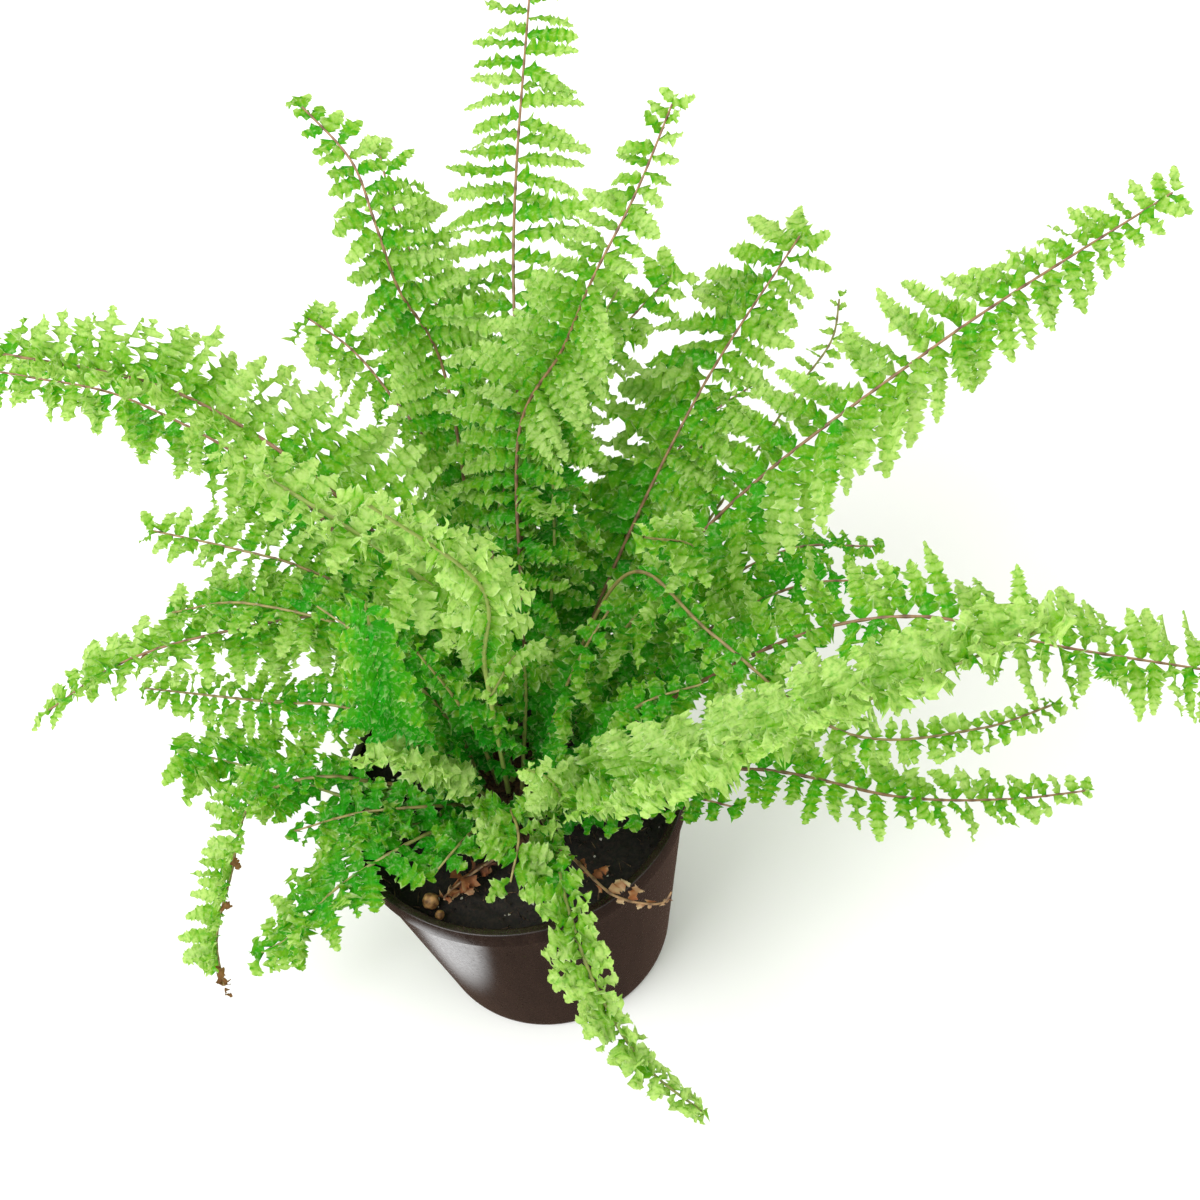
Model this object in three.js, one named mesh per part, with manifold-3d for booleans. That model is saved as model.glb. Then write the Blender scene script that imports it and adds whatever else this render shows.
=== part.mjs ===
// A fluffy ruffles boston fern in its nursery pot, in millimetres, +Z up.
// The origin is the centre of the pot's underside, and -Y is the side that faces the viewer.

import * as THREE from 'three';
import { mergeVertices } from 'three/addons/utils/BufferGeometryUtils.js';
import Module from 'manifold-3d';

const wasm = await Module();
wasm.setup();

// Driving dimensions of the pot
const POT_HEIGHT = 89;
const POT_RIM_RADIUS = 54;
const POT_BASE_RADIUS = 39;
const POT_WALL = 1.2;
const POT_FLOOR = 2;
const LIP_HEIGHT = 7;
const LIP_STEP = 1.2;
const LIP_WIDTH = 2.6;
const LIP_ROUND = 0.9;
const LIP_BEVEL = 0.3;
const BASE_FILLET = 2;
const POT_SIDES = 48;
const DRAIN_HOLES = 6;
const DRAIN_HOLE_RADIUS = 3.6;
const DRAIN_CIRCLE_RADIUS = 27;
const DRAIN_SIDES = 16;

// Soil and crown, and the gap that two touching pieces keep
const SOIL_LEVEL = 79;
const SOIL_MOUND = 2;
const CROWN_RADIUS = 20;
const CROWN_HEIGHT = 8;
const CROWN_SIDES = 24;
const CROWN_STEPS = 5;
const CROWN_EDGE = 0.5;
const GAP = 0.3;
const WALL_GAP = 0.4;

// Fronds: a round stalk, then a blade whose edges are toothed by the leaflets
const STALK_RADIUS = 1.1;
const TIP_RADIUS = 0.45;
const STALK_STEPS = 3;
const TEETH = 8;
const NOTCH_SHARE = 0.5;
const TOOTH_LEAN = 0.25;
const ROOT_DEPTH = 1.5;
const BLADE_START = 0.55;
const BLADE_OPENING = 1.8;
const BLADE_TAPER = 0.9;
const BLADE_TAPER_POWER = 2.2;

// Where fronds cross: the hole left for another stalk, what is kept round a stalk, and the gap
const HOLE_RADIUS = 1.95;
const KEEP_RADIUS = 1.35;
const TUBE_STEPS = 16;
const TUBE_SIDES = 6;
const CLEARANCE = 0.42;

// Each frond: its name, where it leaves the crown in plan, the points that its stalk passes up to its
// tip, where the blade begins as a share of the length, and half of the blade's greatest width
const FRONDS = [
  ['frond_back_tall', [0, 8], [[20, 46, 155], [35, 100, 215], [58, 168, 262]], 0.2, 22],
  ['frond_back_left_tall', [-4.5, 8],
    [[6, 91, 182], [-1, 97, 210], [-3, 106, 228], [-6, 122, 238], [-18, 141, 248]], 0.25, 20],
  ['frond_back_left_inner', [-2, 12],
    [[9, 108, 174], [4, 119, 200], [1, 137, 207], [0, 156, 214]], 0.28, 18],
  ['frond_back_right_tall', [4.5, 8],
    [[13, 19, 130], [26, 56, 185], [42, 57, 210], [54, 52, 239], [70, 63, 256], [85, 80, 270]], 0.24, 19],
  ['frond_back_right_short', [2, 12],
    [[36, 86, 155], [50, 88, 172], [64, 95, 179], [82, 106, 185]], 0.28, 15],
  ['frond_back_centre', [6.5, 4], [[27, 35, 147], [35, 51, 181], [50, 59, 208], [62, 60, 228]], 0.25, 16],
  ['frond_back_mid', [-2, 4], [[5, 24, 134], [15, 51, 160], [40, 72, 180]], 0.25, 17],
  ['frond_right_raised', [9, 8], [[45, 35, 140], [80, 60, 180], [120, 100, 195]], 0.22, 21],
  ['frond_right_thin', [11, 12],
    [[90, 64, 136], [112, 79, 152], [126, 94, 154], [132, 108, 158]], 0.35, 12],
  ['frond_right_long', [11, 4], [[68, 28, 150], [143, 40, 197], [222, 66, 213]], 0.18, 26],
  ['frond_right_level', [13.5, 0],
    [[61, -12, 136], [97, -22, 163], [124, -31, 170],
      [154, -40, 159], [196, -48, 143], [219, -53, 135]], 0.16, 25],
  ['frond_front_right_large', [6.5, -8], [[50, -65, 172], [90, -85, 215], [135, -92, 240]], 0.12, 21],
  ['frond_right_low', [16, -4],
    [[73, -33, 117], [110, -50, 114], [143, -48, 97], [169, -43, 84]], 0.22, 18],
  ['frond_right_arching', [4.5, 0],
    [[49, 9, 166], [66, -19, 167], [97, -48, 148], [132, -53, 145], [156, -45, 137]], 0.4, 17],
  ['frond_right_inner', [16, 4], [[60, 8, 128], [96, 12, 140], [126, 10, 134]], 0.2, 20],
  ['frond_right_back_low', [13.5, 8], [[58, 34, 108], [98, 50, 110], [130, 60, 90]], 0.2, 17],
  ['frond_right_short', [11, -8], [[28, -24, 104], [46, -30, 110], [66, -34, 100]], 0.22, 14],
  ['frond_centre_right', [9, 0], [[40, 6, 140], [66, 0, 180], [52, -14, 208]], 0.25, 17],
  ['frond_centre_right_short', [6.5, -4], [[18, -7, 128], [30, -7, 155], [40, -4, 168]], 0.3, 14],
  ['frond_front_right_short', [11, -4], [[28, -16, 122], [44, -22, 146], [62, -24, 152]], 0.25, 16],
  ['frond_back_right_mid', [6.5, 12], [[39, 43, 126], [68, 58, 146], [92, 76, 152]], 0.28, 17],
  ['frond_left_long', [-9, 8], [[-20, 38, 165], [-65, 78, 200], [-130, 115, 205]], 0.18, 22],
  ['frond_left_long_lower', [-11, 12],
    [[-38, 69, 142], [-96, 133, 152], [-134, 162, 146], [-164, 183, 140]], 0.25, 20],
  ['frond_left_pale', [0, 0], [[0, 2, 165], [-12, -8, 212], [-42, 10, 238]], 0.3, 18],
  ['frond_left_inner', [-6.5, 4], [[-28, 16, 150], [-62, 32, 160], [-92, 54, 138]], 0.22, 17],
  ['frond_left_small', [-13.5, 8],
    [[-33, 42, 139], [-49, 52, 149], [-66, 60, 153], [-94, 80, 148]], 0.28, 15],
  ['frond_left_level', [-11, 4],
    [[-18, 12, 112], [-20, 27, 137], [-36, 34, 143],
      [-80, 42, 138], [-112, 49, 125], [-141, 49, 109]], 0.18, 24],
  ['frond_left_thin', [-16, 4], [[-42, 24, 108], [-75, 36, 110], [-114, 64, 92]], 0.3, 12],
  ['frond_left_low', [-18, 0], [[-33, -8, 89], [-52, 1, 99], [-76, 22, 90], [-106, 47, 77]], 0.18, 17],
  ['frond_left_mid', [-13.5, 0], [[-24, 0, 122], [-42, 6, 136], [-66, 18, 130]], 0.22, 16],
  ['frond_left_drooping', [-16, -4],
    [[-52, -3, 116], [-79, 4, 101], [-93, -4, 76], [-103, -15, 58], [-105, -24, 43]], 0.22, 15],
  ['frond_left_short', [-11, -4], [[-26, -14, 106], [-45, -12, 107], [-68, -6, 96]], 0.22, 14],
  ['frond_front_left_low', [-13.5, -8],
    [[-29, -23, 104], [-55, -29, 97], [-77, -25, 68], [-90, -21, 55]], 0.18, 16],
  ['frond_front_left_upright', [-4.5, -8], [[-25, -18, 156], [-21, -37, 205], [-17, -44, 243]], 0.2, 18],
  ['frond_front_left_short', [-9, -8], [[-21, -12, 119], [-27, -20, 142], [-38, -25, 150]], 0.25, 13],
  ['frond_front_low', [-6.5, -12], [[-12, -20, 98], [-18, -30, 106], [-25, -36, 105]], 0.25, 12],
  ['frond_front_olive', [-2, -12], [[0, -28, 115], [1, -40, 119], [-4, -50, 112]], 0.3, 12],
  ['frond_front_short', [2, -12], [[14, -30, 118], [14, -40, 145], [9, -49, 166]], 0.3, 10],
  ['frond_front_hanging', [6.5, -12],
    [[10, -37, 104], [11, -61, 112], [14, -80, 99], [23, -95, 73], [37, -103, 50]], 0.22, 14],
  ['frond_centre_pale', [-2, -4], [[4, -24, 180], [10, -44, 240], [-10, -45, 278]], 0.25, 18],
  ['frond_centre_small', [2, -4], [[12, -1, 140], [12, -18, 174], [4, -36, 182]], 0.4, 11],
  ['frond_centre_left', [-9, 0], [[-12, -4, 130], [-24, 2, 160], [-42, 20, 168]], 0.25, 16],
  ['frond_centre_short', [-4.5, 0], [[-5, -8, 125], [-8, -14, 158], [-14, -12, 178]], 0.28, 14],
  ['frond_back_left_thin', [-6.5, 12],
    [[-2, 79, 148], [-13, 105, 159], [-23, 125, 163], [-36, 142, 165]], 0.28, 13],
  ['frond_back_low', [0, 16], [[16, 62, 118], [24, 112, 124], [30, 158, 98]], 0.2, 17],
  ['frond_back_left_low', [-4.5, 16], [[-28, 62, 112], [-52, 108, 118], [-74, 150, 96]], 0.2, 17],
  ['frond_back_right_low', [4.5, 16], [[46, 60, 112], [78, 98, 120], [106, 130, 104]], 0.2, 17],
];

// Fertiliser pellets on the soil: x, y and radius
const PELLETS = [
  [-39, 11, 2.4],
  [-31, -32, 2.6],
  [-29, -36.6, 1.5],
];

// Dead fronds, dry and curled, in the same form as the living ones
const DEAD_FRONDS = [
  ['dead_frond_left', [-2, -16], [[-8, -26, 90], [-16, -28, 86.5], [-25, -30, 84]], 0.3, 5],
  ['dead_frond_right', [2, -16], [[14, -38, 100], [24, -53, 99], [36, -57, 97]], 0.5, 6],
];

const POT_LOOK = { color: '#2a2422', roughness: 0.3 };
const SOIL_LOOK = { color: '#1d1815', roughness: 0.95 };
const CROWN_LOOK = { color: '#4a3424', roughness: 0.9 };
const PELLET_LOOK = { color: '#c08a4e', roughness: 0.7 };
const FROND_LOOK = { color: '#4fae2a', roughness: 0.6 };
const DEAD_LOOK = { color: '#a8703a', roughness: 0.6 };

// Points of a turned or rounded shape nearer to each other than this are one point
const MERGE_DISTANCE = 1e-4;

const UP = new THREE.Vector3(0, 0, 1);

// Height of the soil at a distance from the pot's axis: level below the crown, then falling to the wall
function soilSurface(radius) {
  const share = (radius - CROWN_RADIUS) / (potInside(SOIL_LEVEL) - CROWN_RADIUS);
  return SOIL_LEVEL + SOIL_MOUND * (1 - THREE.MathUtils.smoothstep(share, 0, 1));
}

// Height of the crown's dome over a point of its plan
function crownSurface(x, y) {
  const share = Math.min(Math.hypot(x, y) / CROWN_RADIUS, 1);
  return soilSurface(0) + GAP + CROWN_HEIGHT * Math.sqrt(1 - share * share);
}

// Outer radius of the pot's tapered wall at a height, and the radius inside it
function potOutside(height) {
  const share = height / (POT_HEIGHT - LIP_HEIGHT);
  return THREE.MathUtils.lerp(POT_BASE_RADIUS, POT_RIM_RADIUS - LIP_STEP, Math.min(share, 1));
}

function potInside(height) {
  return potOutside(height) - POT_WALL;
}

// A closed geometry that holds only positions, with shared vertices and no collapsed triangle
function closedGeometry(source) {
  const geometry = source.clone();
  geometry.deleteAttribute('normal');
  geometry.deleteAttribute('uv');
  const merged = mergeVertices(geometry, MERGE_DISTANCE);
  const index = merged.getIndex().array;
  const kept = [];
  for (let i = 0; i < index.length; i += 3) {
    const [a, b, c] = index.slice(i, i + 3);
    if (a !== b && b !== c && c !== a) kept.push(a, b, c);
  }
  merged.setIndex(kept);
  merged.computeVertexNormals();
  return merged;
}

function toSolid(geometry) {
  const vertProperties = new Float32Array(geometry.getAttribute('position').array);
  const triVerts = new Uint32Array(geometry.getIndex().array);
  return new wasm.Manifold(new wasm.Mesh({ numProp: 3, vertProperties, triVerts }));
}

function toGeometry(solid) {
  const mesh = solid.getMesh();
  const geometry = new THREE.BufferGeometry();
  geometry.setAttribute('position', new THREE.BufferAttribute(mesh.vertProperties, 3));
  geometry.setIndex(new THREE.BufferAttribute(mesh.triVerts, 1));
  geometry.computeVertexNormals();
  return geometry;
}

function piece(name, geometry, look) {
  const material = new THREE.MeshStandardMaterial({ ...look, metalness: 0 });
  const mesh = new THREE.Mesh(geometry, material);
  mesh.name = name;
  return mesh;
}

// A turned body: its outline in radius and height, from the axis round to the axis again
function turned(outline, sides) {
  const points = outline.map(([radius, height]) => new THREE.Vector2(radius, height));
  return closedGeometry(new THREE.LatheGeometry(points, sides).rotateX(Math.PI / 2));
}

function makePot() {
  const lipFoot = POT_HEIGHT - LIP_HEIGHT;
  const outline = [
    [0, 0],
    [POT_BASE_RADIUS - BASE_FILLET, 0],
    [potOutside(BASE_FILLET), BASE_FILLET],
    [potOutside(lipFoot), lipFoot],
    [POT_RIM_RADIUS - LIP_BEVEL, lipFoot + LIP_BEVEL],
    [POT_RIM_RADIUS, lipFoot + LIP_ROUND],
    [POT_RIM_RADIUS, POT_HEIGHT - LIP_ROUND],
    [POT_RIM_RADIUS - LIP_ROUND, POT_HEIGHT],
    [POT_RIM_RADIUS - LIP_WIDTH + LIP_ROUND, POT_HEIGHT],
    [POT_RIM_RADIUS - LIP_WIDTH, POT_HEIGHT - LIP_ROUND],
    [potInside(lipFoot), lipFoot],
    [potInside(POT_FLOOR), POT_FLOOR],
    [0, POT_FLOOR],
  ];
  let solid = toSolid(turned(outline, POT_SIDES));
  for (let i = 0; i < DRAIN_HOLES; i += 1) {
    const angle = (2 * Math.PI * i) / DRAIN_HOLES;
    const depth = 4 * POT_FLOOR;
    const drill = new THREE.CylinderGeometry(DRAIN_HOLE_RADIUS, DRAIN_HOLE_RADIUS, depth, DRAIN_SIDES);
    drill.rotateX(Math.PI / 2);
    drill.translate(DRAIN_CIRCLE_RADIUS * Math.cos(angle), DRAIN_CIRCLE_RADIUS * Math.sin(angle), 0);
    solid = solid.subtract(toSolid(closedGeometry(drill)));
  }
  return piece('pot', toGeometry(solid), POT_LOOK);
}

function makeSoil() {
  const foot = POT_FLOOR + GAP;
  const edge = potInside(SOIL_LEVEL) - WALL_GAP;
  const middle = (CROWN_RADIUS + edge) / 2;
  const outline = [
    [0, foot],
    [potInside(foot) - WALL_GAP, foot],
    [edge, SOIL_LEVEL],
    [middle, soilSurface(middle)],
    [CROWN_RADIUS, soilSurface(CROWN_RADIUS)],
    [0, soilSurface(0)],
  ];
  return piece('soil', turned(outline, POT_SIDES), SOIL_LOOK);
}

// The crown's outline: a low dome on an upright edge, grown by a margin all round
function crownOutline(margin) {
  const foot = soilSurface(0) + GAP;
  const width = CROWN_RADIUS - CROWN_EDGE + margin;
  const outline = [[0, foot - margin], [width, foot - margin]];
  for (let i = 0; i < CROWN_STEPS; i += 1) {
    const angle = (Math.PI / 2) * (i / CROWN_STEPS);
    const height = foot + CROWN_EDGE + (CROWN_HEIGHT + margin) * Math.sin(angle);
    outline.push([width * Math.cos(angle), height]);
  }
  outline.push([0, foot + CROWN_EDGE + CROWN_HEIGHT + margin]);
  return outline;
}

function makeCrown() {
  return piece('crown', turned(crownOutline(0), CROWN_SIDES), CROWN_LOOK);
}

function makePellet([x, y, radius], index) {
  const geometry = closedGeometry(new THREE.IcosahedronGeometry(radius, 1));
  const mesh = piece(`pellet_${index + 1}`, geometry, PELLET_LOOK);
  mesh.position.set(x, y, soilSurface(Math.hypot(x, y) - radius) + radius + GAP);
  return mesh;
}

// The line of a frond's stalk, from inside the crown to the frond's tip
function frondCurve([x, y], path) {
  const root = new THREE.Vector3(x, y, crownSurface(x, y) - ROOT_DEPTH);
  const points = path.map((point) => new THREE.Vector3(...point));
  return new THREE.CatmullRomCurve3([root, ...points]);
}

// Where a section stands along the curve: its centre, its forward, sideways and upward directions
function frameAt(curve, share) {
  const chord = curve.getPoint(1).sub(curve.getPoint(0));
  const forward = curve.getTangentAt(share);
  const side = new THREE.Vector3().crossVectors(chord, UP).normalize();
  side.addScaledVector(forward, -side.dot(forward)).normalize();
  const up = new THREE.Vector3().crossVectors(side, forward);
  return { centre: curve.getPointAt(share), forward, side, up };
}

// A solid swept along a curve. Each station gives its share of the length and its section's corners,
// sideways, upwards and forwards from the curve, in the same turning sense and number throughout
function sweep(curve, stations) {
  const corners = stations[0].section.length;
  const positions = [];
  const triangles = [];
  stations.forEach(({ share, section }) => {
    const { centre, forward, side, up } = frameAt(curve, share);
    section.forEach(([across, above, ahead]) => {
      const point = centre.clone();
      point.addScaledVector(side, across).addScaledVector(up, above).addScaledVector(forward, ahead);
      positions.push(point.x, point.y, point.z);
    });
  });
  for (let row = 0; row + 1 < stations.length; row += 1) {
    for (let i = 0; i < corners; i += 1) {
      const a = row * corners + i;
      const b = row * corners + ((i + 1) % corners);
      triangles.push(a, a + corners, b, b, a + corners, b + corners);
    }
  }
  const last = (stations.length - 1) * corners;
  for (let i = 1; i + 1 < corners; i += 1) {
    triangles.push(0, i, i + 1);
    triangles.push(last, last + i + 1, last + i);
  }
  const geometry = new THREE.BufferGeometry();
  geometry.setAttribute('position', new THREE.Float32BufferAttribute(positions, 3));
  geometry.setIndex(triangles);
  return toSolid(geometry);
}

// A round stalk-like tube all the way along the curve
function tube(curve, radius) {
  const section = [];
  for (let i = 0; i < TUBE_SIDES; i += 1) {
    const angle = (2 * Math.PI * i) / TUBE_SIDES;
    section.push([radius * Math.cos(angle), radius * Math.sin(angle), 0]);
  }
  const stations = [];
  for (let i = 0; i <= TUBE_STEPS; i += 1) {
    const reach = i === TUBE_STEPS ? radius : 0;
    const shifted = section.map(([across, above]) => [across, above, reach]);
    stations.push({ share: i / TUBE_STEPS, section: shifted });
  }
  return sweep(curve, stations);
}

// The blade's width at a share of its length, against its greatest: soon full, then narrowing
function bladeProfile(share) {
  const opening = Math.min(BLADE_START + BLADE_OPENING * share, 1);
  const closing = 1 - BLADE_TAPER * Math.pow(share, BLADE_TAPER_POWER);
  return opening * closing;
}

// A flat lozenge section, or with a margin the six-cornered one that wraps it at that distance
function bladeSection(half, ridge, lean, margin) {
  if (margin === 0) return [[half, 0, lean], [0, ridge, 0], [-half, 0, lean], [0, -ridge, 0]];
  const wide = half + margin;
  const high = ridge + margin;
  return [
    [wide, -margin, lean], [wide, margin, lean], [0, high, 0],
    [-wide, margin, lean], [-wide, -margin, lean], [0, -high, 0],
  ];
}

// The whole frond: its stalk, then one pair of coarse teeth after another up to the tip
function frondSolid(curve, bare, greatest, margin) {
  const stations = [];
  const addStation = (share, half, lean) => {
    const ridge = THREE.MathUtils.lerp(STALK_RADIUS, TIP_RADIUS, share);
    stations.push({ share, section: bladeSection(Math.max(half, ridge), ridge, lean, margin) });
  };
  for (let i = 0; i < STALK_STEPS; i += 1) addStation((bare * i) / STALK_STEPS, 0, 0);
  for (let tooth = 0; tooth < TEETH; tooth += 1) {
    const notchShare = tooth / TEETH;
    const tipShare = (tooth + 0.5) / TEETH;
    const notch = tooth === 0 ? 0 : greatest * NOTCH_SHARE * bladeProfile(notchShare);
    const reach = greatest * bladeProfile(tipShare);
    addStation(bare + (1 - bare) * notchShare, notch, 0);
    addStation(bare + (1 - bare) * tipShare, reach, reach * TOOTH_LEAN);
  }
  addStation(1, 0, 0);
  return sweep(curve, stations);
}

function boxesMeet(first, second) {
  const a = first.boundingBox();
  const b = second.boundingBox();
  return [0, 1, 2].every((axis) => a.min[axis] < b.max[axis] && b.min[axis] < a.max[axis]);
}

function cut(body, tool) {
  return boxesMeet(body, tool) ? body.subtract(tool) : body;
}

function largestPart(body) {
  return body.decompose().reduce((best, part) => (part.volume() > best.volume() ? part : best));
}

// Every frond, with a slot where another frond crosses it: a frond listed earlier stays whole there,
// but for a hole that lets the other's stalk through
function makeFronds() {
  const living = FRONDS.map((row) => [...row, FROND_LOOK]);
  const dead = DEAD_FRONDS.map((row) => [...row, DEAD_LOOK]);
  const fronds = [...living, ...dead].map(([name, root, path, bare, half, look]) => {
    const curve = frondCurve(root, path);
    return {
      name,
      look,
      body: frondSolid(curve, bare, half, 0),
      grown: frondSolid(curve, bare, half, CLEARANCE),
      hole: tube(curve, HOLE_RADIUS),
      kept: tube(curve, KEEP_RADIUS),
    };
  });
  const crownRoom = toSolid(turned(crownOutline(GAP), CROWN_SIDES));
  return fronds.map((frond, index) => {
    let { body } = frond;
    fronds.forEach((other, otherIndex) => {
      if (otherIndex !== index) body = cut(body, other.hole);
      if (otherIndex < index && boxesMeet(body, other.grown)) {
        body = body.subtract(other.grown.subtract(frond.kept));
      }
    });
    body = largestPart(body.subtract(crownRoom));
    return piece(frond.name, toGeometry(body), frond.look);
  });
}

const fern = new THREE.Group();
fern.add(makePot(), makeSoil(), makeCrown());
fern.add(...PELLETS.map(makePellet));
fern.add(...makeFronds());

export default fern;
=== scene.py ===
import math

import bmesh
import bpy
import numpy as np
from mathutils import Matrix, Vector


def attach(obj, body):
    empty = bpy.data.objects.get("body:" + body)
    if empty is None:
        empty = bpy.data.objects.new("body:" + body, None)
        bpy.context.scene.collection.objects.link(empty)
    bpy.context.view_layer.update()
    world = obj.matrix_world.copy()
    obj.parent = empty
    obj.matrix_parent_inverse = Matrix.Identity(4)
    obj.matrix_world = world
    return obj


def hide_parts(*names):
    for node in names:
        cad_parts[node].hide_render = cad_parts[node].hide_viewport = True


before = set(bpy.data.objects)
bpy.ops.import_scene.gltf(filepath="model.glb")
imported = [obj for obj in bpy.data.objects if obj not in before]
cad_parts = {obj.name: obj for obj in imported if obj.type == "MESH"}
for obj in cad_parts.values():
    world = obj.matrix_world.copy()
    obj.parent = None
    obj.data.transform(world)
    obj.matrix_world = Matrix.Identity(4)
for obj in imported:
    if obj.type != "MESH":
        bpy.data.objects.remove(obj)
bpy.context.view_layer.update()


# Camera
# A short tele lens looks down on the plant from the front, tilted a little to one side. The middle
# of the pot's rim lies at a fixed pixel of the square frame.
FRAME_PIXELS = 1200
VIEW_ANGLE = math.radians(32)
VIEW_ELEVATION = math.radians(51.5)
VIEW_ROLL = math.radians(-12)
RIM_DISTANCE = 0.647
RIM_PIXEL = (513, 781)
POT_HEIGHT = 0.089

def add_camera():
    """Places the camera so that the rim's middle is RIM_DISTANCE away along the view and at RIM_PIXEL."""
    forward = Vector((0, math.cos(VIEW_ELEVATION), -math.sin(VIEW_ELEVATION)))
    level = Vector((1, 0, 0))
    upright = level.cross(forward)
    right = level * math.cos(VIEW_ROLL) + upright * math.sin(VIEW_ROLL)
    up = upright * math.cos(VIEW_ROLL) - level * math.sin(VIEW_ROLL)
    half = FRAME_PIXELS / 2
    per_pixel = RIM_DISTANCE * math.tan(VIEW_ANGLE / 2) / half
    aside = (RIM_PIXEL[0] - half) * per_pixel
    below = (RIM_PIXEL[1] - half) * per_pixel
    place = Vector((0, 0, POT_HEIGHT)) - RIM_DISTANCE * forward - aside * right + below * up
    data = bpy.data.cameras.new("camera")
    data.sensor_fit = "HORIZONTAL"
    data.angle = VIEW_ANGLE
    data.clip_end = 20
    camera = bpy.data.objects.new("camera", data)
    turn = Matrix((right, up, -forward)).transposed()
    camera.matrix_world = Matrix.Translation(place) @ turn.to_4x4()
    bpy.context.scene.collection.objects.link(camera)
    bpy.context.scene.camera = camera

add_camera()


# Floor and light
# A pale paper floor that runs to the horizon, a bright overcast world, and one large soft light
# from the upper left. In the pot's gloss alone the floor is a painted reflection, a dim glow with
# one brightly glowing patch, standing in for the dim room with one window that the real pot mirrors.
FLOOR_COLOR = "#fafafa"
FLOOR_REACH = 6.0
MIRRORED_COLOR = "#705c50"
MIRRORED_PATCH = (-0.063, -0.040, 0)
MIRRORED_STRENGTH = 2.2
PATCH_INNER = 0.018
PATCH_OUTER = 0.031
WORLD_COLOR = "#fffefa"
WORLD_STRENGTH = 1.15
KEY_SIZE = 0.9
KEY_POWER = 14.0
KEY_PLACE = (-0.75, -0.55, 1.25)
KEY_AIM = (0, 0, 0.12)

def linear(hex_color):
    """A colour written as sRGB hex, turned to the linear red, green, blue and alpha that nodes take."""
    parts = [int(hex_color[i:i + 2], 16) / 255 for i in (1, 3, 5)]
    return [c / 12.92 if c <= 0.04045 else ((c + 0.055) / 1.055) ** 2.4 for c in parts] + [1.0]

def add_node(tree, kind, settings=(), out=0, **links):
    """Adds a shader node of that kind and returns its output of that number or name. Each setting is a
    property or, where there is none, a socket's value; each link joins another node's output to the
    input of that name, with _ for a space, or of that number after a _."""
    node = tree.nodes.new("ShaderNode" + kind)
    for name, value in dict(settings).items():
        if isinstance(name, str) and hasattr(node, name):
            setattr(node, name, value)
        else:
            node.inputs[name].default_value = value
    for name, socket in links.items():
        place = int(name[1:]) if name[1:].isdigit() else name.replace("_", " ")
        tree.links.new(socket, node.inputs[place])
    return node.outputs[out] if node.outputs else None

def object_place(tree):
    return add_node(tree, "TexCoord", out="Object")

def noise(tree, place, scale, detail, rough=0.5):
    """Noise whose cells are about 1 / scale metres wide."""
    settings = {"Scale": scale, "Detail": detail, "Roughness": rough}
    return add_node(tree, "TexNoise", settings, Vector=place)

def ranged(tree, value, low, high, start, end, kind="LINEAR"):
    """Carries a value that runs from low to high to one that runs from start to end."""
    ends = {"From Min": low, "From Max": high, "To Min": start, "To Max": end}
    return add_node(tree, "MapRange", {"interpolation_type": kind, **ends}, Value=value)

def ramp(tree, share, first, last, *between):
    """A colour for each share. Each stop is a position from 0 to 1 and an sRGB hex colour."""
    color = add_node(tree, "ValToRGB", Fac=share)
    stops = color.node.color_ramp.elements
    for stop, (position, _) in zip(stops, (first, last)):
        stop.position = position
    stops[0].color, stops[1].color = linear(first[1]), linear(last[1])
    for position, tint in between:
        stops.new(position).color = linear(tint)
    return color

def bumped(tree, height, strength, distance):
    return add_node(tree, "Bump", {"Strength": strength, "Distance": distance}, Height=height)

def mix(tree, share, first, second, kind="MIX"):
    """Mixes two colours by a share: the share a socket or a number, a colour a socket or sRGB hex."""
    color = add_node(tree, "Mix", {"data_type": "RGBA", "blend_type": kind}, out=2)
    for place, value in ((0, share), (6, first), (7, second)):
        socket = color.node.inputs[place]
        if isinstance(value, bpy.types.NodeSocket):
            tree.links.new(value, socket)
        else:
            socket.default_value = linear(value) if isinstance(value, str) else value
    return color

def new_material(name):
    """A material with an empty node tree, and that tree."""
    material = bpy.data.materials.new(name)
    material.use_nodes = True
    material.node_tree.nodes.clear()
    return material, material.node_tree

def new_piece(name, vertices, faces, *materials, face_material=None, smooth=True):
    """A mesh object at the origin, in metres, from an array of points and an array or list of faces."""
    faces = faces.tolist() if isinstance(faces, np.ndarray) else faces
    mesh = bpy.data.meshes.new(name)
    mesh.from_pydata(np.asarray(vertices).tolist(), [], faces)
    mesh.polygons.foreach_set("use_smooth", np.full(len(mesh.polygons), smooth))
    for material in materials:
        mesh.materials.append(material)
    if face_material is not None:
        mesh.polygons.foreach_set("material_index", face_material)
    mesh.update()
    piece = bpy.data.objects.new(name, mesh)
    bpy.context.scene.collection.objects.link(piece)
    return piece

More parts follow.
